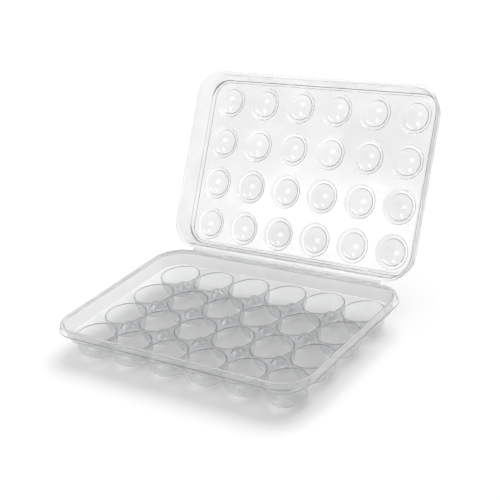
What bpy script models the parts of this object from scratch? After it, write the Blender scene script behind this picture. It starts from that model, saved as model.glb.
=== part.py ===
# Clear hinged storage container: a tray with rows of round cups and a lid with
# matching domes, folded together along one long living hinge at the back.
# Metres, +Z up, +X along the hinge, +Y from the front edge to the hinge. The lid stands open.

import bpy
from math import cos, sin, pi, radians, sqrt
from mathutils import Vector

# Cell pattern

COLUMNS = 6
ROWS = 4
CELL_PITCH = 0.0495
LAND_BETWEEN_CUPS = 0.0031
LAND_BETWEEN_DOMES = 0.0105

# Walls, clearances and joint

TRAY_WALL = 0.0010
LID_WALL = 0.0008
PIECE_GAP = 0.0003
CUT_OVERRUN = 0.0020
LID_OPEN_ANGLE = radians(120)

# Cups and the posts that stand between four of them

CUP_DEPTH = 0.0240
FOOT_RADIUS = 0.0090
POST_RISE = 0.0060
POST_TOP_RADIUS = 0.0042
POST_TO_CUP = 0.0033

# Tray wall, flange and the skirt that is turned down from the flange

END_LEDGE = 0.0058
SIDE_LEDGE = 0.0012
WALL_CORNER_RADIUS = 0.0235
WALL_HEIGHT = 0.0170
WALL_DRAFT = 0.0036
FLANGE_WIDTH = 0.0042
SKIRT_DROP = 0.0052
SKIRT_FLARE = 0.0006
SKIRT_LIP = 0.0013
FOOT_FILLET = 0.0009
LIP_ROUND = 0.0012

# Lid wall, the raised stacking bead round its plate, and the domes

LID_DEPTH = 0.0210
LID_DRAFT = 0.0036
BEAD_RISE = 0.0015
BEAD_SLOPE = 0.0008
BEAD_WIDTH_AT_ENDS = 0.0062
BEAD_WIDTH_AT_SIDES = 0.0036
BEAD_ROUND = 0.0010
LID_EDGE_ROUND = 0.0022
DOME_STEP = 0.0020
DOME_STEP_DRAFT = 0.0008
DOME_CAP_RADIUS = 0.0152
DOME_CAP_RISE = 0.0060
DOME_TOP_RADIUS = 0.0060

# Hinge leaves

HINGE_LEAF_WIDTH = 0.0016
HINGE_LEAF_THICKNESS = 0.0004
HINGE_END_MARGIN = 0.0020

# Facets

CUP_STEPS = 16
DOME_STEPS = 12
POST_STEPS = 12
CUP_ARC_STEPS = 4
DOME_ARC_STEPS = 2
CORNER_STEPS = 7
ROUND_STEPS = 2
MERGE_DISTANCE = 0.00001

# Sizes worked out from those above

CUP_RADIUS = (CELL_PITCH - LAND_BETWEEN_CUPS) / 2
DOME_RADIUS = (CELL_PITCH - LAND_BETWEEN_DOMES) / 2
POST_BASE_RADIUS = CELL_PITCH / sqrt(2) - CUP_RADIUS - POST_TO_CUP
OUTER_COLUMN_X = CELL_PITCH * (COLUMNS - 1) / 2
OUTER_ROW_Y = CELL_PITCH * (ROWS - 1) / 2
WALL_FOOT_X = OUTER_COLUMN_X + CUP_RADIUS + END_LEDGE
WALL_FOOT_Y = OUTER_ROW_Y + CUP_RADIUS + SIDE_LEDGE
WEB_TOP = CUP_DEPTH + TRAY_WALL
RIM_HEIGHT = WEB_TOP + WALL_HEIGHT
FLANGE_REACH = WALL_DRAFT + FLANGE_WIDTH
LID_WALL_REACH = WALL_DRAFT + LID_WALL

# The hinge axis lies midway between the closed flanges, just past both leaves
LEAF_START_Y = WALL_FOOT_Y + FLANGE_REACH + PIECE_GAP
AXIS_Y = LEAF_START_Y + HINGE_LEAF_WIDTH + PIECE_GAP / 2
AXIS_Z = RIM_HEIGHT + PIECE_GAP / 2
LEAF_HALF_LENGTH = WALL_FOOT_X - WALL_CORNER_RADIUS - HINGE_END_MARGIN

# How far the tray's skirt reaches forward of the tray's centre
TRAY_FRONT_Y = WALL_FOOT_Y + FLANGE_REACH + SKIRT_FLARE + SKIRT_LIP


def clear_scene():
    for item in list(bpy.data.objects):
        bpy.data.objects.remove(item, do_unlink=True)


def new_collection(name, parent):
    made = bpy.data.collections.new(name)
    parent.children.link(made)
    return made


def plastic(name, colour, roughness):
    material = bpy.data.materials.new(name)
    material.use_nodes = True
    shader = material.node_tree.nodes["Principled BSDF"]
    shader.inputs["Base Color"].default_value = (*colour, 1)
    shader.inputs["Roughness"].default_value = roughness
    shader.inputs["Metallic"].default_value = 0
    shader.inputs["IOR"].default_value = 1.57
    shader.inputs["Transmission Weight"].default_value = 0.9
    return material


def new_object(name, mesh, collection, parent, place=(0, 0, 0)):
    made = bpy.data.objects.new(name, mesh)
    collection.objects.link(made)
    made.parent = parent
    made.location = place
    return made


def mark_cutter(item):
    item.hide_render = True
    item.display_type = "WIRE"


def turned_mesh(name, profile):
    """A profile of (radius, height) points, from the axis on top to the axis below."""
    mesh = bpy.data.meshes.new(name)
    points = [(radius, 0, height) for radius, height in profile]
    mesh.from_pydata(points, [(i, i + 1) for i in range(len(points) - 1)], [])
    return mesh


def turn(item, steps):
    screw = item.modifiers.new("turn", "SCREW")
    screw.axis = "Z"
    screw.angle = 2 * pi
    screw.steps = steps
    screw.render_steps = steps
    screw.use_merge_vertices = True
    screw.merge_threshold = MERGE_DISTANCE


def inset(profile, wall):
    """Move each point of a profile in by the wall, square to its two segments."""
    points = [Vector(point) for point in profile]
    normals = []
    for start, end in zip(points, points[1:]):
        along = (end - start).normalized()
        normals.append(Vector((along.y, -along.x)))
    moved = []
    for i, point in enumerate(points):
        before = normals[max(i - 1, 0)]
        after = normals[min(i, len(normals) - 1)]
        mitre = (before + after) / (1 + before.dot(after))
        moved.append(tuple(point + mitre * wall))
    return moved


def soften(points, reaches, steps):
    """Round each inner corner of a run of points with a quadratic curve."""
    run = [Vector(point) for point in points]
    rounded = [run[0]]
    for before, corner, after, reach in zip(run, run[1:], run[2:], reaches):
        if reach == 0:
            rounded.append(corner)
            continue
        start = corner + (before - corner).normalized() * reach
        end = corner + (after - corner).normalized() * reach
        for i in range(steps + 1):
            t = i / steps
            rounded.append(start * (1 - t) ** 2 + corner * 2 * t * (1 - t) + end * t ** 2)
    rounded.append(run[-1])
    return rounded


def rounded_outline(out_x, out_y, height):
    """A rounded rectangle that lies out_x and out_y outside the foot of the tray wall."""
    radius = WALL_CORNER_RADIUS + (out_x + out_y) / 2
    centre_x = WALL_FOOT_X + out_x - radius
    centre_y = WALL_FOOT_Y + out_y - radius
    points = []
    for quarter, (side_x, side_y) in enumerate(((1, 1), (-1, 1), (-1, -1), (1, -1))):
        for i in range(CORNER_STEPS + 1):
            angle = pi / 2 * (quarter + i / CORNER_STEPS)
            x = side_x * centre_x + radius * cos(angle)
            y = side_y * centre_y + radius * sin(angle)
            points.append((x, y, height))
    return points


def lofted_mesh(name, section):
    """Outlines along a section from the middle outwards, with the first one filled."""
    outlines = [rounded_outline(*point) for point in section]
    count = len(outlines[0])
    faces = [tuple(range(count))]
    for level in range(len(outlines) - 1):
        inner = level * count
        outer = inner + count
        for i in range(count):
            following = (i + 1) % count
            faces.append((inner + i, outer + i, outer + following, inner + following))
    mesh = bpy.data.meshes.new(name)
    mesh.from_pydata([point for outline in outlines for point in outline], [], faces)
    return mesh


def thicken(item, wall):
    solid = item.modifiers.new("wall", "SOLIDIFY")
    solid.thickness = wall
    solid.offset = -1
    solid.use_even_offset = True


def combine(item, operation, cutters):
    boolean = item.modifiers.new(operation.lower(), "BOOLEAN")
    boolean.operation = operation
    boolean.operand_type = "COLLECTION"
    boolean.collection = cutters
    boolean.solver = "EXACT"


def finish(item, material):
    item.data.materials.append(material)
    item.data.shade_smooth()
    item.data.set_sharp_from_angle(angle=radians(40))


def cell_places(columns, rows):
    for row in range(rows):
        for column in range(columns):
            x = CELL_PITCH * (column - (columns - 1) / 2)
            y = CELL_PITCH * (row - (rows - 1) / 2)
            yield x, y


def repeat_turned(name, profile, steps, columns, rows, height, collection, parent):
    mesh = turned_mesh(name, profile)
    for number, (x, y) in enumerate(cell_places(columns, rows), 1):
        item = new_object(f"{name}_{number:02d}", mesh, collection, parent, (x, y, height))
        turn(item, steps)
        mark_cutter(item)


def cup_skin():
    """The outside of a cup, from its mouth down to its flat foot."""
    skin = []
    for i in range(CUP_ARC_STEPS + 1):
        angle = pi / 2 * i / CUP_ARC_STEPS
        radius = FOOT_RADIUS + (CUP_RADIUS - FOOT_RADIUS) * cos(angle)
        skin.append((radius, CUP_DEPTH * (1 - sin(angle))))
    return skin + [(0, 0)]


def post_skin():
    """The outside of a post, from its flat top down to the web."""
    return [(0, POST_RISE), (POST_TOP_RADIUS, POST_RISE), (POST_BASE_RADIUS, 0)]


def dome_skin():
    """The outside of a dome, from its flat crown down to the lid's plate."""
    skin = [(0, DOME_STEP + DOME_CAP_RISE)]
    for i in range(DOME_ARC_STEPS + 1):
        angle = pi / 2 * i / DOME_ARC_STEPS
        radius = DOME_TOP_RADIUS + (DOME_CAP_RADIUS - DOME_TOP_RADIUS) * sin(angle)
        skin.append((radius, DOME_STEP + DOME_CAP_RISE * cos(angle)))
    return skin + [(DOME_RADIUS - DOME_STEP_DRAFT, DOME_STEP), (DOME_RADIUS, 0)]


def make_cups(bodies, cavities, parent):
    top = WEB_TOP - TRAY_WALL / 2
    body = [(0, top), (CUP_RADIUS, top)] + cup_skin()
    inside = inset(cup_skin(), TRAY_WALL)
    top = WEB_TOP + CUT_OVERRUN
    cavity = [(0, top), (inside[0][0], top)] + inside[:-1] + [(0, inside[-1][1])]
    repeat_turned("cup_body", body, CUP_STEPS, COLUMNS, ROWS, 0, bodies, parent)
    repeat_turned("cup_cavity", cavity, CUP_STEPS, COLUMNS, ROWS, 0, cavities, parent)


def make_posts(bodies, cavities, parent):
    sunk = -TRAY_WALL / 2
    body = post_skin() + [(POST_BASE_RADIUS, sunk), (0, sunk)]
    inside = inset(post_skin(), TRAY_WALL)
    below = -TRAY_WALL - CUT_OVERRUN
    cavity = [(0, inside[0][1])] + inside[1:] + [(inside[-1][0], below), (0, below)]
    repeat_turned("post_body", body, POST_STEPS, COLUMNS - 1, ROWS - 1, WEB_TOP, bodies, parent)
    repeat_turned("post_cavity", cavity, POST_STEPS, COLUMNS - 1, ROWS - 1, WEB_TOP, cavities, parent)


def make_domes(plate_top, bodies, cavities, parent):
    sunk = -LID_WALL / 2
    body = dome_skin() + [(DOME_RADIUS, sunk), (0, sunk)]
    inside = inset(dome_skin(), LID_WALL)
    below = -LID_WALL - CUT_OVERRUN
    cavity = [(0, inside[0][1])] + inside[1:] + [(inside[-1][0], below), (0, below)]
    repeat_turned("dome_body", body, DOME_STEPS, COLUMNS, ROWS, plate_top, bodies, parent)
    repeat_turned("dome_cavity", cavity, DOME_STEPS, COLUMNS, ROWS, plate_top, cavities, parent)


def tray_section():
    """The upper side of the tray, from the web out over the flange to the skirt's lip."""
    skirt_foot = RIM_HEIGHT - SKIRT_DROP
    flared = FLANGE_REACH + SKIRT_FLARE
    corners = [
        (-FOOT_FILLET - TRAY_WALL / 2, WEB_TOP),
        (0, WEB_TOP),
        (WALL_DRAFT, RIM_HEIGHT),
        (FLANGE_REACH, RIM_HEIGHT),
        (flared, skirt_foot),
        (flared + SKIRT_LIP, skirt_foot),
    ]
    points = [(out, out, height) for out, height in corners]
    return soften(points, (FOOT_FILLET, LIP_ROUND, 0, 0), ROUND_STEPS)


def lid_section():
    """The outside of the closed lid, from its plate over the bead and down to the flange."""
    plate = LID_DEPTH - BEAD_RISE
    bead = LID_WALL_REACH - LID_DRAFT
    bead_x = bead - BEAD_WIDTH_AT_ENDS
    bead_y = bead - BEAD_WIDTH_AT_SIDES
    points = [
        (bead_x - BEAD_ROUND, bead_y - BEAD_ROUND, plate),
        (bead_x, bead_y, plate),
        (bead_x + BEAD_SLOPE, bead_y + BEAD_SLOPE, LID_DEPTH),
        (bead, bead, LID_DEPTH),
        (LID_WALL_REACH, LID_WALL_REACH, LID_WALL),
        (FLANGE_REACH, FLANGE_REACH, LID_WALL),
    ]
    return soften(points, (0, 0, LID_EDGE_ROUND, LIP_ROUND), ROUND_STEPS)


def open_lid_reach():
    """How far the open lid reaches back from the tray's centre, at the free edge of its bead."""
    reaches = []
    for _, out, height in lid_section():
        from_axis = WALL_FOOT_Y + out + AXIS_Y
        above_axis = height + PIECE_GAP / 2
        reaches.append(above_axis * sin(LID_OPEN_ANGLE) - from_axis * cos(LID_OPEN_ANGLE))
    return AXIS_Y + max(reaches)


def make_tray(parts, cutters, root):
    bodies = new_collection("tray_bodies", cutters)
    cavities = new_collection("tray_cavities", cutters)
    make_cups(bodies, cavities, root)
    make_posts(bodies, cavities, root)
    tray = new_object("tray", lofted_mesh("tray", tray_section()), parts, root)
    thicken(tray, TRAY_WALL)
    combine(tray, "UNION", bodies)
    combine(tray, "DIFFERENCE", cavities)
    finish(tray, plastic("clear_tray_plastic", (0.90, 0.93, 0.95), 0.06))


def make_lid(parts, cutters, closed_frame):
    bodies = new_collection("lid_bodies", cutters)
    cavities = new_collection("lid_cavities", cutters)
    plate_top = LID_DEPTH - BEAD_RISE
    make_domes(plate_top, bodies, cavities, closed_frame)
    lid = new_object("lid", lofted_mesh("lid", lid_section()), parts, closed_frame)
    thicken(lid, LID_WALL)
    combine(lid, "UNION", bodies)
    combine(lid, "DIFFERENCE", cavities)
    finish(lid, plastic("clear_lid_plastic", (0.93, 0.95, 0.96), 0.05))


def make_leaf(name, bottom, collection, parent, shift):
    """A thin strip from the flange's edge to the fold, with its lower face at bottom."""
    bpy.ops.mesh.primitive_cube_add(size=1)
    leaf = bpy.context.object
    leaf.name = name
    for owner in list(leaf.users_collection):
        owner.objects.unlink(leaf)
    collection.objects.link(leaf)
    centre = Vector((0, LEAF_START_Y + HINGE_LEAF_WIDTH / 2, bottom + HINGE_LEAF_THICKNESS / 2))
    for vertex in leaf.data.vertices:
        vertex.co.x *= 2 * LEAF_HALF_LENGTH
        vertex.co.y *= HINGE_LEAF_WIDTH
        vertex.co.z *= HINGE_LEAF_THICKNESS
        vertex.co += centre + shift
    leaf.parent = parent
    return leaf


def make_hinge(parts, root, fold):
    below_rim = RIM_HEIGHT - HINGE_LEAF_THICKNESS
    tray_leaf = make_leaf("tray_hinge_leaf", below_rim, parts, root, Vector())
    finish(tray_leaf, plastic("tray_hinge_web", (0.88, 0.91, 0.93), 0.12))
    to_fold = Vector((0, -AXIS_Y, -AXIS_Z))
    lid_leaf = make_leaf("lid_hinge_leaf", RIM_HEIGHT + PIECE_GAP, parts, fold, to_fold)
    finish(lid_leaf, plastic("lid_hinge_web", (0.88, 0.91, 0.93), 0.12))


def main():
    clear_scene()
    scene = bpy.context.scene.collection
    parts = new_collection("egg_storage_container", scene)
    cutters = new_collection("cutters", scene)
    # The origin lies below the middle of the open container, so the tray sits forward of it
    tray_centre = (TRAY_FRONT_Y - open_lid_reach()) / 2
    root = new_object("tray_centre", None, parts, None, (0, tray_centre, 0))
    fold = new_object("hinge_axis", None, parts, root, (0, AXIS_Y, AXIS_Z))
    fold.rotation_euler.x = -LID_OPEN_ANGLE
    closed_frame = new_object("closed_lid_frame", None, parts, fold, (0, -AXIS_Y, PIECE_GAP / 2))
    make_tray(parts, cutters, root)
    make_lid(parts, cutters, closed_frame)
    make_hinge(parts, root, fold)
    bpy.context.view_layer.update()


main()
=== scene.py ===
# Looks for the clear hinged container: a moulded tray of cups and a domed lid that stands open.
# Every piece is drawn round the middle of the tray, with the lid closed, and then put in place.

import bmesh
import bpy
from math import cos, sin, sqrt, pi, radians
from mathutils import Matrix, Quaternion, Vector
from mathutils.geometry import delaunay_2d_cdt


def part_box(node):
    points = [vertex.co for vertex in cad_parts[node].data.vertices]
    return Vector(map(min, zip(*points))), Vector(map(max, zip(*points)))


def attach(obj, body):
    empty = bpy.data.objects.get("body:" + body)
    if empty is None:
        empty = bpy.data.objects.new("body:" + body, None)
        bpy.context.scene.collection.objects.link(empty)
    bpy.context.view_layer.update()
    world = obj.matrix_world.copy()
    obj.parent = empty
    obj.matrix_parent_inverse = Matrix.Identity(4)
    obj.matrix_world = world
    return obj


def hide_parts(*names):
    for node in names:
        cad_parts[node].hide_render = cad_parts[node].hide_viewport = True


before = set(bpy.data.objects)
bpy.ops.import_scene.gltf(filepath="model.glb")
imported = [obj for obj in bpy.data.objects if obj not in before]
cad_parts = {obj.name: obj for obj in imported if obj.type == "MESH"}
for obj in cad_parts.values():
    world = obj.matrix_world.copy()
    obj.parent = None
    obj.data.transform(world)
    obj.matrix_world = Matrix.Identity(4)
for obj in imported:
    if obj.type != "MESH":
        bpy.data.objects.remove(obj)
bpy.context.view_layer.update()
print("frame loaded")

# what the tray, the lid and the hinge share, in metres and degrees
container = {
    "columns": 6,
    "rows": 4,
    "pitch": 0.0495,
    "wallFootX": 0.15275,  # from the tray's middle to the foot of its wall
    "wallFootY": 0.09865,
    "cornerRadius": 0.0235,  # of the outline at the wall's foot
    "webTop": 0.0250,
    "rimHeight": 0.0420,
    "flangeReach": 0.0078,  # from the wall's foot out to the flange's edge
    "openAngle": 120,
    "closedGap": 0.0003,  # between the two flanges once the lid is closed
    "axisY": 0.1085,  # from the tray's middle to the fold line
    "weld": 0.00002,  # points nearer than this become one
    "cornerSteps": 14,  # in each corner of an outline
    "straightStep": 0.0070,  # about the length of a step along a straight side
    "roundSteps": 6,  # in each rounded corner of a section
    "edgeShare": 0.3,  # width of a rounded edge, as a share of the wall
    "edgeSteps": 2,
    "edgeAngle": 62,
    "creaseAngle": 50,  # a sharper fold than this is shaded as an edge
}

trayLow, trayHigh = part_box("tray")
trayCentre = Vector((0, (trayLow[1] + trayHigh[1]) / 2, 0))
hingePlace = Vector((0, container["axisY"], container["rimHeight"] + container["closedGap"] / 2))

# marks on the points of a sheet, which the plastics read: on the wall and flange, painted shade in chosen
# bends, corners and dome rings, on a stretched cup or dome, and on a milky stretch
markNames = ("rim", "corner", "polish", "milky")

# the corners of an outline, anticlockwise: the side of the middle each is on, and the way on from it
outlineCorners = (((1, 1), (-1, 0)), ((-1, 1), (0, -1)), ((-1, -1), (1, 0)), ((1, -1), (0, 1)))


def cellCentres(columns, rows):
    pitch = container["pitch"]
    for row in range(rows):
        for column in range(columns):
            yield Vector((pitch * (column - (columns - 1) / 2), pitch * (row - (rows - 1) / 2)))


def arc(centre, radii, start, end, steps):
    for i in range(steps + 1):
        angle = radians(start + (end - start) * i / steps)
        yield centre[0] + radii[0] * cos(angle), centre[1] + radii[1] * sin(angle)


def roundedPath(corners, reaches, steps=container["roundSteps"]):
    # corners of a section, each rounded over its own reach
    path = [Vector(corners[0])]
    for before, corner, after, reach in zip(corners, corners[1:], corners[2:], reaches):
        before, corner, after = Vector(before), Vector(corner), Vector(after)
        start = corner + (before - corner).normalized() * reach
        end = corner + (after - corner).normalized() * reach
        for i in range(steps + 1):
            t = i / steps
            path.append(start * (1 - t) ** 2 + corner * 2 * t * (1 - t) + end * t ** 2)
    return path + [Vector(corners[-1])]


def paintedShadeShares(shares, steps=container["roundSteps"]):
    # for each point of a rounded path, how much painted shade it gets, most in the middle of its rounded
    # corner
    path = [0]
    for share in shares:
        path += [share * sin(pi * i / steps) for i in range(steps + 1)]
    return path + [0]


def stretchShares(shares, steps=container["roundSteps"]):
    # one value for each straight stretch of a section, blended through its rounded corners
    path = [shares[0]]
    for before, after in zip(shares, shares[1:]):
        path += [before + (after - before) * i / steps for i in range(steps + 1)]
    return path + [shares[-1]]


def cornerAt(outX, outY):
    # the radius and the centre of the corner of an outline
    radius = container["cornerRadius"] + (outX + outY) / 2
    return radius, container["wallFootX"] + outX - radius, container["wallFootY"] + outY - radius


def outlineAt(outX, outY):
    # a rounded rectangle outX and outY outside the foot of the tray's wall, anticlockwise
    radius, centreX, centreY = cornerAt(outX, outY)
    steps = container["cornerSteps"]
    points = []
    for quarter, ((sideX, sideY), onward) in enumerate(outlineCorners):
        for i in range(steps + 1):
            angle = pi / 2 * (quarter + i / steps)
            points.append(Vector((sideX * centreX + radius * cos(angle),
                                  sideY * centreY + radius * sin(angle))))
        # the straight side that follows has even steps, so its shading stays straight
        foot, centre = (container["wallFootX"], centreX) if onward[0] else (container["wallFootY"], centreY)
        length = 2 * centre
        pieces = round(foot * 2 / container["straightStep"])
        for _ in range(1, pieces):
            points.append(points[-1] + Vector(onward) * length / pieces)
    return points


def newMesh(name, points, faces, marks=None):
    # marks hold one value for each point
    mesh = bpy.data.meshes.new(name)
    mesh.from_pydata(points, [], faces)
    for label, values in (marks or {}).items():
        mesh.attributes.new(label, "FLOAT", "POINT").data.foreach_set("value", values)
    return mesh


def turnedPatch(name, profile, sides, lastPaintedShade=()):
    # a (radius, height) profile from the pole outwards, facing up; its last points may get painted shade
    points = [(0, 0, profile[0][1])]
    faces = []
    for ring, (radius, height) in enumerate(profile[1:]):
        for i in range(sides):
            angle = 2 * pi * i / sides
            points.append((radius * cos(angle), radius * sin(angle), height))
            here = 1 + ring * sides + i
            following = 1 + ring * sides + (i + 1) % sides
            if ring == 0:
                faces.append((0, here, following))
            else:
                faces.append((here - sides, here, following, following - sides))
    shares = [0] * (len(profile) - len(lastPaintedShade)) + list(lastPaintedShade)
    shadeMarks = shares[:1] + [share for share in shares[1:] for _ in range(sides)]
    return newMesh(name, points, faces, {"corner": shadeMarks, "polish": [1] * len(points)})


def loftedWall(name, section, paintedShadeAtEnds, paintedShadeAtSides, milkShares, paintedShadeInCorners=0):
    # outlines along a section, from the middle outwards, marked with painted shade and where they are milky
    outlines = [[(p.x, p.y, height) for p in outlineAt(outX, outY)] for outX, outY, height in section]
    count = len(outlines[0])
    faces = []
    for level in range(len(outlines) - 1):
        for i in range(count):
            inner, following = level * count + i, level * count + (i + 1) % count
            faces.append((inner, inner + count, following + count, following))
    points = [point for outline in outlines for point in outline]
    shadeMarks = []
    perCorner = container["roundSteps"] + 1
    for level, (outX, outY, _) in enumerate(section):
        # the third corner of a section is the shoulder above the lid's wall
        onShoulder = 2 * perCorner < level <= 3 * perCorner
        radius, _, centreY = cornerAt(outX, outY)
        for _, y, _ in outlines[level]:
            # 0 along the two ends, 1 along the two long sides
            turn = min(max((abs(y) - centreY) / radius, 0), 1)
            side = turn ** 2
            # painted shade in the rounded corners of the outline, on the shoulder only
            shadeInCorner = 2 * turn * sqrt(1 - side) * paintedShadeInCorners if onShoulder else 0
            shadeMarks.append(paintedShadeAtEnds[level] * (1 - side) + paintedShadeAtSides[level] * side + shadeInCorner)
    milky = [share for share in milkShares for _ in range(count)]
    return newMesh(name, points, faces, {"corner": shadeMarks, "rim": [1] * len(points), "milky": milky})


def piercedPlate(name, outline, height, holes):
    # a flat plate inside an outline, with a round hole for each (centre, radius, sides)
    points = [Vector(p) for p in outline]
    edges = [(i, (i + 1) % len(points)) for i in range(len(points))]
    for centre, radius, sides in holes:
        first = len(points)
        for i in range(sides):
            angle = 2 * pi * i / sides
            points.append(centre + Vector((radius * cos(angle), radius * sin(angle))))
            edges.append((first + i, first + (i + 1) % sides))
    insideOnly, nearness, slack = 1, 1e-7, 0.999
    flat, _, triangles, _, _, _ = delaunay_2d_cdt(points, edges, [], insideOnly, nearness)

    def isPlate(triangle):
        # a triangle that fills a hole has its middle within the hole's flat sides
        middle = sum((flat[i] for i in triangle), Vector((0, 0))) / len(triangle)
        return all((middle - centre).length > radius * cos(pi / sides) * slack
                   for centre, radius, sides in holes)

    kept = [tuple(triangle) for triangle in triangles if isPlate(triangle)]
    return newMesh(name, [(p.x, p.y, height) for p in flat], kept)


def gridRepeater():
    # Geometry Nodes: one patch repeated on a grid of cells
    tree = bpy.data.node_groups.new("repeatOnGrid", "GeometryNodeTree")
    tree.interface.new_socket("Geometry", in_out="INPUT", socket_type="NodeSocketGeometry")
    for label, kind in (("Columns", "Int"), ("Rows", "Int"), ("Pitch", "Float"), ("Height", "Float"),
                        ("Finish", "Material")):
        tree.interface.new_socket(label, in_out="INPUT", socket_type="NodeSocket" + kind)
    tree.interface.new_socket("Geometry", in_out="OUTPUT", socket_type="NodeSocketGeometry")
    add, join = tree.nodes.new, tree.links.new
    given, result = add("NodeGroupInput"), add("NodeGroupOutput")
    grid = add("GeometryNodeMeshGrid")
    # a grid of so many points is one gap smaller each way
    for count, side, vertices in (("Columns", "Size X", "Vertices X"), ("Rows", "Size Y", "Vertices Y")):
        gaps, size = add("ShaderNodeMath"), add("ShaderNodeMath")
        gaps.operation, size.operation = "SUBTRACT", "MULTIPLY"
        gaps.inputs[1].default_value = 1
        join(given.outputs[count], gaps.inputs[0])
        join(gaps.outputs[0], size.inputs[0])
        join(given.outputs["Pitch"], size.inputs[1])
        join(size.outputs[0], grid.inputs[side])
        join(given.outputs[count], grid.inputs[vertices])
    lift, move = add("ShaderNodeCombineXYZ"), add("GeometryNodeTransform")
    join(given.outputs["Height"], lift.inputs["Z"])
    join(lift.outputs[0], move.inputs["Translation"])
    join(grid.outputs["Mesh"], move.inputs["Geometry"])
    copies, real, painted = (add("GeometryNode" + kind) for kind in
                             ("InstanceOnPoints", "RealizeInstances", "SetMaterial"))
    join(move.outputs[0], copies.inputs["Points"])
    join(given.outputs["Geometry"], copies.inputs["Instance"])
    join(copies.outputs[0], real.inputs[0])
    join(real.outputs[0], painted.inputs["Geometry"])
    join(given.outputs["Finish"], painted.inputs["Material"])
    join(painted.outputs[0], result.inputs[0])
    return tree


repeater = gridRepeater()


def asPlainMesh(item, name):
    bpy.context.view_layer.update()
    evaluated = item.evaluated_get(bpy.context.evaluated_depsgraph_get())
    mesh = bpy.data.meshes.new_from_object(evaluated)
    mesh.name = name
    item.modifiers.clear()
    return mesh


def repeated(patch, columns, rows, height, finish):
    item = bpy.data.objects.new(patch.name, patch)
    bpy.context.scene.collection.objects.link(item)
    repeat = item.modifiers.new("repeat", "NODES")
    repeat.node_group = repeater
    values = {"Columns": columns, "Rows": rows, "Pitch": container["pitch"], "Height": height,
              "Finish": finish}
    for socket in repeater.interface.items_tree:
        if socket.in_out == "INPUT" and socket.name in values:
            repeat[socket.identifier] = values[socket.name]
    mesh = asPlainMesh(item, patch.name + "Row")
    bpy.data.objects.remove(item)
    return mesh


def weldedPiece(name, meshes, wall, finish, place):
    # one skin from several meshes, given its wall on the side away from its faces
    skin = bmesh.new()
    for label in markNames:
        skin.verts.layers.float.new(label)
    for mesh in meshes:
        skin.from_mesh(mesh)
    bmesh.ops.remove_doubles(skin, verts=skin.verts, dist=container["weld"])
    loose = [vertex for vertex in skin.verts if not vertex.link_faces]
    bmesh.ops.delete(skin, geom=loose, context="VERTS")
    for face in skin.faces:
        face.material_index = 0
    mesh = bpy.data.meshes.new(name)
    skin.to_mesh(mesh)
    skin.free()
    item = bpy.data.objects.new(name, mesh)
    bpy.context.scene.collection.objects.link(item)
    solid = item.modifiers.new("wall", "SOLIDIFY")
    solid.thickness, solid.offset, solid.use_even_offset = wall, -1, True
    edge = item.modifiers.new("edge", "BEVEL")
    edge.width, edge.segments = wall * container["edgeShare"], container["edgeSteps"]
    edge.limit_method, edge.angle_limit = "ANGLE", radians(container["edgeAngle"])
    item.data = asPlainMesh(item, name)
    item.data.transform(place)
    item.data.materials.clear()
    item.data.materials.append(finish)
    item.data.shade_smooth()
    item.data.set_sharp_from_angle(angle=radians(container["creaseAngle"]))
    print(name, len(item.data.polygons), "faces")
    return item


# Clear plastics. A faint haze and slow waves in the sheet come from noise on Object coordinates.

plastics = {
    "clearTrayPlastic": {
        "tint": (0.945, 0.951, 0.957),
        "rimTint": (0.988, 0.992, 0.996),  # on the wall and flange
        "steepAndShadeTint": (0.88, 0.90, 0.92),  # partly the longer path through plastic, partly painted shade, where the sheet is steep or bent
        "steep": (0.50, 1.0),  # where that begins and ends: 0 is seen face on, 1 edge on
        "rimEase": 0.36,  # how much of the steepness counts on the wall and flange
        "domeEase": 0.96,  # and on the cups and domes
        "milk": (0.03, 0.14),  # on flat sheet and on steep
        "sideMilk": 0.26,  # more of it where the wall and flange are marked milky
        "cloud": 0.02,  # and in cloudy patches
        "haze": (0.045, 0.090),  # roughness, from the clearer patches to the hazier
        "wave": 0.00005,  # height of the slow waves
        "lamps": 0.78,  # how much of a lamp's light gets through
        "lampDrop": 0.32,  # how much less does where it crosses the sheet at a slant
    },
    "clearLidPlastic": {
        "tint": (0.936, 0.940, 0.943),
        "rimTint": (0.940, 0.944, 0.947),
        "steepAndShadeTint": (0.40, 0.41, 0.43),
        "steep": (0.42, 1.0),
        "rimEase": 0.62,
        "domeEase": 0.58,
        "milk": (0.03, 0.40),
        "sideMilk": 0,
        "cloud": 0.045,
        "haze": (0.075, 0.130),
        "wave": 0.00007,
        "lamps": 0.96,
        "lampDrop": 0.14,
    },
    "hingePlastic": {
        "tint": (0.930, 0.938, 0.945),
        "rimTint": (0.930, 0.938, 0.945),
        "steepAndShadeTint": (0.70, 0.73, 0.76),
        "steep": (0.50, 1.0),
        "rimEase": 1,
        "domeEase": 1,
        "milk": (0.12, 0.40),
        "sideMilk": 0,
        "cloud": 0.02,
        "haze": (0.090, 0.140),
        "wave": 0.00004,
        "lamps": 0.84,
        "lampDrop": 0.30,
    },
}

# what the three plastics share
formedSheet = {
    "ior": 1.50,
    "noises": {"slow": (55, 1), "fine": (260, 2), "haze": (90, 4), "cloud": (19, 2)},  # scale and detail
    "fineness": 12,  # how many times lower the fine ripple is than the slow waves
    "rimWaves": 0.08,  # how much of the waves is left on the wall and flange
    "domeHaze": 0.35,  # how much of the haze is left on the cups and domes
    "hazeReach": (0.35, 0.65),  # the middle part of each noise, which the patches are made from
    "cloudReach": (0.38, 0.66),
    "lampRise": 0.06,  # how much more of a lamp's light gets through where it crosses straight
}

# a Mix node's two inputs and its output, by what it mixes
mixSockets = {"FLOAT": (2, 3, 0), "RGBA": (6, 7, 2)}


def feed(tree, value, socket):
    # a value is another node's output, a number or a colour
    if isinstance(value, bpy.types.NodeSocket):
        tree.links.new(value, socket)
    else:
        socket.default_value = value


def markOn(tree, label):
    node = tree.nodes.new("ShaderNodeAttribute")
    node.attribute_name = label
    return node.outputs["Fac"]


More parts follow.
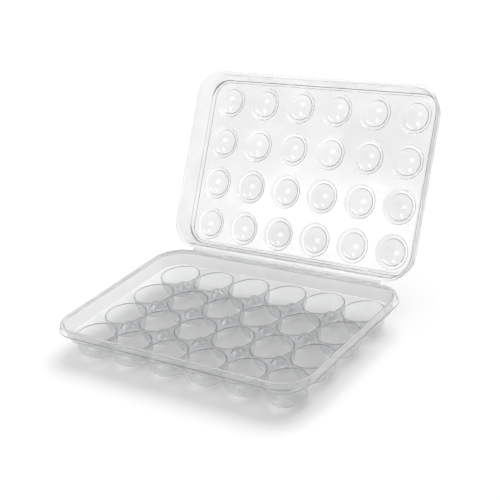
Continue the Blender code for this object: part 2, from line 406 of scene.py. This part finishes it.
def remapped(tree, value, wanted, given=(0, 1), smooth=False):
    # a value that runs over the given range, made to run over the wanted one
    node = tree.nodes.new("ShaderNodeMapRange")
    node.interpolation_type = "SMOOTHSTEP" if smooth else "LINEAR"
    node.inputs["From Min"].default_value, node.inputs["From Max"].default_value = given
    node.inputs["To Min"].default_value, node.inputs["To Max"].default_value = wanted
    feed(tree, value, node.inputs["Value"])
    return node.outputs["Result"]


def combined(tree, first, second, operation="MULTIPLY"):
    node = tree.nodes.new("ShaderNodeMath")
    node.operation = operation
    feed(tree, first, node.inputs[0])
    feed(tree, second, node.inputs[1])
    return node.outputs[0]


def blended(tree, kind, share, first, second):
    # from the first value to the second as the share goes from 0 to 1
    node = tree.nodes.new("ShaderNodeMix")
    node.data_type = kind
    firstInput, secondInput, output = mixSockets[kind]
    feed(tree, share, node.inputs["Factor"])
    feed(tree, first, node.inputs[firstInput])
    feed(tree, second, node.inputs[secondInput])
    return node.outputs[output]


def clearPlastic(name):
    settings = plastics[name]
    material = bpy.data.materials.new(name)
    material.use_nodes = True
    tree = material.node_tree
    add, join = tree.nodes.new, tree.links.new
    shader = tree.nodes["Principled BSDF"]
    shader.inputs["IOR"].default_value = formedSheet["ior"]
    # the corner mark carries painted shade in chosen bends, corners and dome rings
    rim, corner, polish, milky = (markOn(tree, label) for label in markNames)
    where, facing = add("ShaderNodeTexCoord"), add("ShaderNodeLayerWeight")
    noises = {}
    for label, (scale, detail) in formedSheet["noises"].items():
        noise = add("ShaderNodeTexNoise")
        noise.inputs["Scale"].default_value, noise.inputs["Detail"].default_value = scale, detail
        join(where.outputs["Object"], noise.inputs["Vector"])
        noises[label] = noise.outputs["Fac"]

    # slow waves of a formed sheet, with a finer ripple over them
    calm = remapped(tree, rim, (1, formedSheet["rimWaves"]))
    normal = None
    for label, height in (("slow", settings["wave"]), ("fine", settings["wave"] / formedSheet["fineness"])):
        bump = add("ShaderNodeBump")
        bump.inputs["Distance"].default_value = height
        join(calm, bump.inputs["Strength"])
        join(noises[label], bump.inputs["Height"])
        if normal:
            join(normal, bump.inputs["Normal"])
        normal = bump.outputs["Normal"]
    join(normal, shader.inputs["Normal"])

    # haze, less of it on the stretched cups and domes
    haze = remapped(tree, noises["haze"], settings["haze"], formedSheet["hazeReach"])
    polished = remapped(tree, polish, (1, formedSheet["domeHaze"]))
    join(combined(tree, haze, polished), shader.inputs["Roughness"])

    # darker where the sheet is steep: partly the longer path through plastic, partly painted shade; darkest
    # at the painted-shade marks
    steepnessAndShade = combined(tree, facing.outputs["Facing"], remapped(tree, rim, (1, settings["rimEase"])))
    steepnessAndShade = combined(tree, steepnessAndShade, remapped(tree, polish, (1, settings["domeEase"])))
    steepnessAndShade = combined(tree, steepnessAndShade, corner, "ADD")
    steep = remapped(tree, steepnessAndShade, (0, 1), settings["steep"])
    tint = blended(tree, "RGBA", rim, (*settings["tint"], 1), (*settings["rimTint"], 1))
    tint = blended(tree, "RGBA", steep, tint, (*settings["steepAndShadeTint"], 1))
    join(tint, shader.inputs["Base Color"])

    # milky where it is steep or marked with painted shade, in cloudy patches, and on the marked stretches
    # of wall and flange
    flatMilk, steepMilk = settings["milk"]
    clear = remapped(tree, steepnessAndShade, (1 - flatMilk, 1 - steepMilk), settings["steep"])
    patches = remapped(tree, noises["cloud"], (1, 1 - settings["cloud"]), formedSheet["cloudReach"])
    sides = remapped(tree, milky, (1, 1 - settings["sideMilk"]))
    clear = combined(tree, combined(tree, clear, patches), sides)
    join(clear, shader.inputs["Transmission Weight"])

    # lamps shine through, so the shadow is pale, but less of their light gets through a steep wall
    faceOn, slanting = settings["lamps"] + formedSheet["lampRise"], settings["lamps"] - settings["lampDrop"]
    lampTint = remapped(tree, facing.outputs["Facing"], (faceOn, slanting))
    through, path, choose = (add("ShaderNode" + kind) for kind in
                             ("BsdfTransparent", "LightPath", "MixShader"))
    join(lampTint, through.inputs["Color"])
    join(path.outputs["Is Shadow Ray"], choose.inputs["Fac"])
    join(shader.outputs["BSDF"], choose.inputs[1])
    join(through.outputs["BSDF"], choose.inputs[2])
    join(choose.outputs[0], tree.nodes["Material Output"].inputs["Surface"])
    return material


finishes = {name: clearPlastic(name) for name in plastics}
print("plastics mixed")

# Tray

tray = {
    "wall": 0.0008,
    "cupMouth": 0.0224,
    "cupDepth": 0.02419,
    "cupSides": 48,
    "cupSteps": 14,
    "footRadius": 0.0086,
    "footRise": 0.0005,  # the middle of each foot is pushed up a little
    "footRiseRadius": 0.0050,
    "footRiseFlat": 0.6,  # shares of that radius, where it is flat and where it has run out
    "footRiseEnd": 1.35,
    "mouthRound": 0.0009,
    "mouthSteps": 5,
    "mouthMargin": 0.0001,  # a flat ring round the mouth, up to the hole in the web
    "postBase": 0.0084,
    "postTop": 0.0042,
    "postRise": 0.0060,
    "postRounds": (0.0015, 0.0010),
    "postMargin": 0.0014,
    "postSides": 28,
    "postSteps": 5,
    "webMargin": 0.00095,  # the flat ring between the web and the foot of the wall
    "wallDraft": 0.0036,
    "skirtDrop": 0.0052,
    "skirtFlare": 0.0006,
    "skirtLip": 0.0013,
    "sectionRounds": (0.0009, 0.0012, 0.0013, 0.0005),
    "paintedCornerShade": (0.08, 0, 0, 0.08),  # painted shade in each corner of the section
    "milkShares": (0, 0.40, 1, 0.20, 0),  # on each stretch of the section
}


def cupProfile():
    # the inside of a cup, from the middle of its foot up to the flat web
    foot, depth, mouth = tray["footRadius"], tray["cupDepth"], tray["cupMouth"]
    rise, riseRadius, lip = tray["footRise"], tray["footRiseRadius"], tray["mouthRound"]
    dimple = [(0, rise - depth), (riseRadius * tray["footRiseFlat"], rise - depth),
              (riseRadius, rise / 2 - depth), (riseRadius * tray["footRiseEnd"], -depth)]
    side = list(arc((foot, -lip), (mouth - foot, depth - lip), -90, 0, tray["cupSteps"]))
    edge = list(arc((mouth + lip, -lip), (lip, lip), 180, 90, tray["mouthSteps"]))[1:]
    return dimple + side + edge + [(mouth + lip + tray["mouthMargin"], 0)]


def postProfile():
    # the outside of a post, from its top down to the web
    base, top, rise = tray["postBase"], tray["postTop"], tray["postRise"]
    corners = [(0, rise), (top, rise), (base, 0), (base + tray["postMargin"], 0)]
    return [tuple(point) for point in roundedPath(corners, tray["postRounds"], tray["postSteps"])]


def traySection():
    # the inside and top of the tray's edge, from the web up the wall and over the flange to the skirt
    web, rim = container["webTop"], container["rimHeight"]
    draft, flange = tray["wallDraft"], container["flangeReach"]
    flared, foot = flange + tray["skirtFlare"], rim - tray["skirtDrop"]
    corners = [(-tray["webMargin"], web), (0, web), (draft, rim), (flange, rim), (flared, foot),
               (flared + tray["skirtLip"], foot)]
    return [(out, out, height) for out, height in roundedPath(corners, tray["sectionRounds"])]


def makeTray():
    finish = finishes["clearTrayPlastic"]
    columns, rows, web = container["columns"], container["rows"], container["webTop"]
    cupSides, postSides = tray["cupSides"], tray["postSides"]
    cup, post, section = cupProfile(), postProfile(), traySection()
    cups = repeated(turnedPatch("cup", cup, cupSides), columns, rows, web, finish)
    # the posts stand between the cups, so there is one fewer each way
    posts = repeated(turnedPatch("post", post, postSides), columns - 1, rows - 1, web, finish)
    holes = [(centre, cup[-1][0], cupSides) for centre in cellCentres(columns, rows)]
    holes += [(centre, post[-1][0], postSides) for centre in cellCentres(columns - 1, rows - 1)]
    plate = piercedPlate("web", outlineAt(section[0][0], section[0][1]), web, holes)
    # painted shade in the corners of the section
    shadeMarks, milk = paintedShadeShares(tray["paintedCornerShade"]), stretchShares(tray["milkShares"])
    wall = loftedWall("trayWall", section, shadeMarks, shadeMarks, milk)
    place = Matrix.Translation(trayCentre)
    shell = weldedPiece("trayShell", [cups, posts, plate, wall], tray["wall"], finish, place)
    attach(shell, "tray")
    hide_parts("tray")
    print("tray made")


makeTray()

# Lid, drawn closed and then swung open about the hinge

lid = {
    "wall": 0.0006,
    "depth": 0.02085,
    "wallReach": 0.0044,
    "draft": 0.0036,
    "flange": 0.0008,  # height of the flange's top above the closed gap
    "beadRise": 0.0015,
    "beadSlope": 0.0008,
    "beadAtEnds": 0.0072,  # width of the raised bead
    "beadAtSides": 0.0036,
    "plateMargin": 0.0010,  # the flat ring between the plate and the bead
    "sectionRounds": (0.0004, 0.0006, 0.0024, 0.0012),
    "stepRadius": 0.0195,
    "stepDraft": 0.0008,
    "stepRise": 0.0020,
    "stepMargin": 0.0009,  # a flat ring round the step, up to the hole in the plate
    "capRadius": 0.0152,
    "capRise": 0.0060,
    "capEdge": 6,  # where the crown ends, as an angle up from its rim
    "capSteps": 12,
    "domeRounds": (0.0005, 0.0009, 0.0007),
    "domeSteps": 4,
    "domeSides": 48,
    "paintedDomeRingShade": (0.20, 0.16, 0.10),  # painted shade in each rounded ring of a dome
    "paintedShadeAtEnds": (0.50, 0.10, 0.55, 0.10),  # painted shade in each corner of the section, at the ends
    # painted shade at the long sides, and more in the corners of the shoulder
    "paintedShadeAtSides": (0.15, 0.05, 1.15, 0.10),
    "paintedShadeInCorners": 0.32,
    "milkShares": (0, 0, 0, 0, 0),  # on each stretch of the section
}


def domeProfile():
    # the outside of a dome, from its crown over the step down to the plate
    step, cap, stepRadius = lid["stepRise"], lid["capRadius"], lid["stepRadius"]
    crown = list(arc((0, step), (cap, lid["capRise"]), 90, lid["capEdge"], lid["capSteps"]))
    corners = [crown[-1], (cap, step), (stepRadius - lid["stepDraft"], step), (stepRadius, 0),
               (stepRadius + lid["stepMargin"], 0)]
    foot = roundedPath(corners, lid["domeRounds"], lid["domeSteps"])
    return crown[:-1] + [tuple(point) for point in foot]


def lidSection():
    # the outside of the lid's edge, from the plate over the bead and down the wall to the flange
    top, reach, flange = lid["depth"], lid["wallReach"], lid["flange"]
    plate, bead = top - lid["beadRise"], reach - lid["draft"]
    beadX, beadY, slope = bead - lid["beadAtEnds"], bead - lid["beadAtSides"], lid["beadSlope"]
    margin, edge = lid["plateMargin"], container["flangeReach"]
    corners = [(beadX - margin, beadY - margin, plate), (beadX, beadY, plate),
               (beadX + slope, beadY + slope, top), (bead, bead, top),
               (reach, reach, flange), (edge, edge, flange)]
    return [tuple(point) for point in roundedPath(corners, lid["sectionRounds"])]


def swungOpen():
    turn = Matrix.Rotation(radians(-container["openAngle"]), 4, "X")
    return Matrix.Translation(trayCentre + hingePlace) @ turn @ Matrix.Translation(-hingePlace)


def makeLid():
    finish = finishes["clearLidPlastic"]
    columns, rows, sides = container["columns"], container["rows"], lid["domeSides"]
    lift = container["rimHeight"] + container["closedGap"]
    section = [(outX, outY, height + lift) for outX, outY, height in lidSection()]
    plateTop = section[0][2]
    # the rings of each dome get painted shade
    dome, ringShade = domeProfile(), paintedShadeShares(lid["paintedDomeRingShade"], lid["domeSteps"])
    domes = repeated(turnedPatch("dome", dome, sides, ringShade), columns, rows, plateTop, finish)
    holes = [(centre, dome[-1][0], sides) for centre in cellCentres(columns, rows)]
    plate = piercedPlate("plate", outlineAt(section[0][0], section[0][1]), plateTop, holes)
    # the lid's edge gets painted shade at its ends, sides and shoulder corners
    wall = loftedWall("lidWall", section, paintedShadeShares(lid["paintedShadeAtEnds"]), paintedShadeShares(lid["paintedShadeAtSides"]),
                      stretchShares(lid["milkShares"]), lid["paintedShadeInCorners"])
    shell = weldedPiece("lidShell", [domes, plate, wall], lid["wall"], finish, swungOpen())
    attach(shell, "lid")
    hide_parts("lid")
    print("lid made")


makeLid()

# The two halves of the flexing web, one on the tray and one on the lid

hinge = {
    "halfLength": 0.12725,
    "thickness": 0.0004,
    "waist": 0.00022,
    "fullTo": 0.3,  # shares of the way from the flange to the fold
    "waistFrom": 0.5,
    "waistTo": 0.8,
    "foldShare": 0.9,  # thickness at the fold, as a share of the whole
    "flangeGap": 0.0001,
    "foldGap": 0.00012,
    "cornerCut": 0.0008,
    "steps": 40,
    "creaseAngle": 40,
}


def makeHingeHalf(name, body, node, bottom, place):
    start = container["wallFootY"] + container["flangeReach"] + hinge["flangeGap"]
    end = container["axisY"] - hinge["foldGap"]
    half, thick, width = hinge["halfLength"], hinge["thickness"], end - start
    thin = hinge["waist"] / thick
    rows = [(start, 1), (start + width * hinge["fullTo"], 1), (start + width * hinge["waistFrom"], thin),
            (start + width * hinge["waistTo"], thin), (end, hinge["foldShare"])]
    points, faces = [], []
    count = hinge["steps"] + 1
    for y, share in rows:
        shorter = hinge["cornerCut"] * ((y - start) / width) ** 2
        for way in (-1, 1):
            for i in range(count):
                x = (half - shorter) * (2 * i / hinge["steps"] - 1)
                points.append((x, y, bottom + thick / 2 + way * thick * share / 2))

    def at(row, upper, i):
        # a point of a row, on the lower face or on the upper one
        return (2 * row + upper) * count + i

    last = count - 1
    for row in range(len(rows) - 1):
        for i in range(last):
            faces.append((at(row, 1, i), at(row, 1, i + 1), at(row + 1, 1, i + 1), at(row + 1, 1, i)))
            faces.append((at(row, 0, i), at(row + 1, 0, i), at(row + 1, 0, i + 1), at(row, 0, i + 1)))
        faces.append((at(row, 0, 0), at(row, 1, 0), at(row + 1, 1, 0), at(row + 1, 0, 0)))
        faces.append((at(row, 0, last), at(row + 1, 0, last), at(row + 1, 1, last), at(row, 1, last)))
    for row, turned in ((0, False), (len(rows) - 1, True)):
        for i in range(last):
            face = (at(row, 0, i), at(row, 0, i + 1), at(row, 1, i + 1), at(row, 1, i))
            faces.append(tuple(reversed(face)) if turned else face)
    mesh = newMesh(name, points, faces)
    mesh.transform(place)
    mesh.materials.append(finishes["hingePlastic"])
    mesh.shade_smooth()
    mesh.set_sharp_from_angle(angle=radians(hinge["creaseAngle"]))
    item = bpy.data.objects.new(name, mesh)
    bpy.context.scene.collection.objects.link(item)
    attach(item, body)
    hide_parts(node)


flangeTop = container["rimHeight"]
makeHingeHalf("trayHingeWeb", "tray", "tray_hinge_leaf", flangeTop - hinge["thickness"],
              Matrix.Translation(trayCentre))
makeHingeHalf("lidHingeWeb", "lid", "lid_hinge_leaf", flangeTop + container["closedGap"], swungOpen())
print("hinge web made")

# Floor, sky, lamps and camera. Lengths are in metres and angles in degrees.

studio = {
    "floorSize": 60,
    "floorDrop": 0.0002,
    "floorGrey": 0.86,
    "floorGlow": (0.235, 0.385),  # over the reach, from the front towards the backdrop
    "glowReach": (-0.5, 1.5),
    "floorGloss": 0.11,
    "backdropWay": (-0.62, 0.78, 0),
    "skyInFront": 0.18,
    "skyBehind": 0.42,
    "skyTurn": (-0.5, 0.5),  # between these the one goes over into the other
    "skyHigh": 0.14,  # overhead
    "skyRise": (0.15, 0.75),  # between these heights it goes over into the sky overhead
    "lampFade": 0.35,  # how far in from its edges a box lamp fades, as a share of its width
}


def distanceAlong(tree, place, way):
    node = tree.nodes.new("ShaderNodeVectorMath")
    node.operation = "DOT_PRODUCT"
    node.inputs[1].default_value = way
    tree.links.new(place, node.inputs[0])
    return node.outputs["Value"]


def makeFloor():
    side, drop = studio["floorSize"] / 2, -studio["floorDrop"]
    corners = [(-side, -side, drop), (side, -side, drop), (side, side, drop), (-side, side, drop)]
    floor = bpy.data.objects.new("floor", newMesh("floor", corners, [(0, 1, 2, 3)]))
    bpy.context.scene.collection.objects.link(floor)
    material = bpy.data.materials.new("paleFloor")
    material.use_nodes = True
    tree = material.node_tree
    shader = tree.nodes["Principled BSDF"]
    grey = studio["floorGrey"]
    shader.inputs["Base Color"].default_value = (grey, grey, grey, 1)
    shader.inputs["Roughness"].default_value = studio["floorGloss"]
    shader.inputs["Emission Color"].default_value = (1, 1, 1, 1)
    # the floor is lit a little more towards the backdrop
    where = tree.nodes.new("ShaderNodeTexCoord")
    along = distanceAlong(tree, where.outputs["Object"], studio["backdropWay"])
    glow = remapped(tree, along, studio["floorGlow"], studio["glowReach"])
    tree.links.new(glow, shader.inputs["Emission Strength"])
    floor.data.materials.append(material)


def makeSky():
    # brighter behind the container than in front and overhead, and plain white to the camera
    world = bpy.data.worlds.new("studio")
    bpy.context.scene.world = world
    world.use_nodes = True
    tree = world.node_tree
    add, join = tree.nodes.new, tree.links.new
    background = tree.nodes["Background"]
    background.inputs["Color"].default_value = (1, 1, 1, 1)
    where, parts, path = (add("ShaderNode" + kind) for kind in ("TexCoord", "SeparateXYZ", "LightPath"))
    join(where.outputs["Generated"], parts.inputs[0])
    towards = distanceAlong(tree, where.outputs["Generated"], studio["backdropWay"])
    ends = (studio["skyInFront"], studio["skyBehind"])
    around = remapped(tree, towards, ends, studio["skyTurn"], smooth=True)
    height = remapped(tree, parts.outputs["Z"], (0, 1), studio["skyRise"], smooth=True)
    sky = blended(tree, "FLOAT", height, around, studio["skyHigh"])
    seen = blended(tree, "FLOAT", path.outputs["Is Camera Ray"], sky, 1)
    join(seen, background.inputs["Strength"])


def softenLamp(lamp):
    # brightest in the lamp's middle, fading out towards its edges
    lamp.use_nodes = True
    tree = lamp.node_tree
    add, join = tree.nodes.new, tree.links.new
    place, parts = add("ShaderNodeNewGeometry"), add("ShaderNodeSeparateXYZ")
    join(place.outputs["Parametric"], parts.inputs[0])
    fades = []
    for across in (parts.outputs["X"], parts.outputs["Y"]):
        # 0 at both edges and 0.5 in the middle
        fromEdge = combined(tree, across, 0.5, "PINGPONG")
        fades.append(remapped(tree, fromEdge, (0, 1), (0, studio["lampFade"]), smooth=True))
    join(combined(tree, *fades), tree.nodes["Emission"].inputs["Strength"])


lamps = {
    "sun": {"place": (0.25, 0.45, 1.10), "aim": (0, 0, 0), "roll": 0, "power": 2.65, "spread": 50},
    "frontBox": {"place": (-0.619, -0.867, 0.642), "aim": (0.025, 0.106, 0.105), "roll": 20, "power": 2.2,
                 "size": (0.64, 0.42)},
    "rimBox": {"place": (-0.70, -0.42, 1.34), "aim": (0, -0.15, 0.04), "roll": 0, "power": 7,
               "size": (0.60, 0.26)},
}


def makeLamp(name):
    settings = lamps[name]
    isBox = "size" in settings
    lamp = bpy.data.lights.new(name, "AREA" if isBox else "SUN")
    lamp.energy = settings["power"]
    if isBox:
        lamp.shape = "RECTANGLE"
        lamp.size, lamp.size_y = settings["size"]
        softenLamp(lamp)
    else:
        lamp.angle = radians(settings["spread"])
    item = bpy.data.objects.new(name, lamp)
    bpy.context.scene.collection.objects.link(item)
    item.location = settings["place"]
    way = Vector(settings["aim"]) - Vector(settings["place"])
    turn = way.to_track_quat("-Z", "Y") @ Quaternion((0, 0, 1), radians(settings["roll"]))
    item.rotation_euler = turn.to_euler()
    return item


camera = {
    "lens": 82.67,
    "sensor": 36,
    "azimuth": 38.60,
    "elevation": 24.43,
    "distance": 1.13563,
    "aim": (0.05774, -0.07754, 0.12709),
    "roll": -8.44,
    "clip": (0.01, 200),
}


def makeCamera():
    azimuth, elevation, roll = (radians(camera[key]) for key in ("azimuth", "elevation", "roll"))
    back = Vector((sin(azimuth) * cos(elevation), -cos(azimuth) * cos(elevation), sin(elevation)))
    right = (-back).cross(Vector((0, 0, 1))).normalized()
    up = right.cross(-back)
    across, along = right * cos(roll) + up * sin(roll), up * cos(roll) - right * sin(roll)
    lens = bpy.data.cameras.new("camera")
    lens.lens, lens.sensor_width, lens.sensor_fit = camera["lens"], camera["sensor"], "HORIZONTAL"
    lens.clip_start, lens.clip_end = camera["clip"]
    item = bpy.data.objects.new("camera", lens)
    bpy.context.scene.collection.objects.link(item)
    place = Vector(camera["aim"]) + back * camera["distance"]
    item.matrix_world = Matrix.Translation(place) @ Matrix((across, along, back)).transposed().to_4x4()
    bpy.context.scene.camera = item


makeFloor()
makeSky()
makeLamp("sun").visible_glossy = False  # the sun lights the floor, and the box lamps shine in the plastic
makeLamp("frontBox")
makeLamp("rimBox").visible_diffuse = False  # this one only glints, on the rounded edges and the domes
makeCamera()

# many thin walls stand one behind another, so light needs many steps to get through them
cycles = bpy.context.scene.cycles
cycles.max_bounces = 32
cycles.transmission_bounces = 28
cycles.glossy_bounces = 8
cycles.transparent_max_bounces = 48
cycles.caustics_refractive = cycles.caustics_reflective = False
cycles.use_denoising = True
bpy.context.scene.view_settings.view_transform = "Standard"
print("studio made")
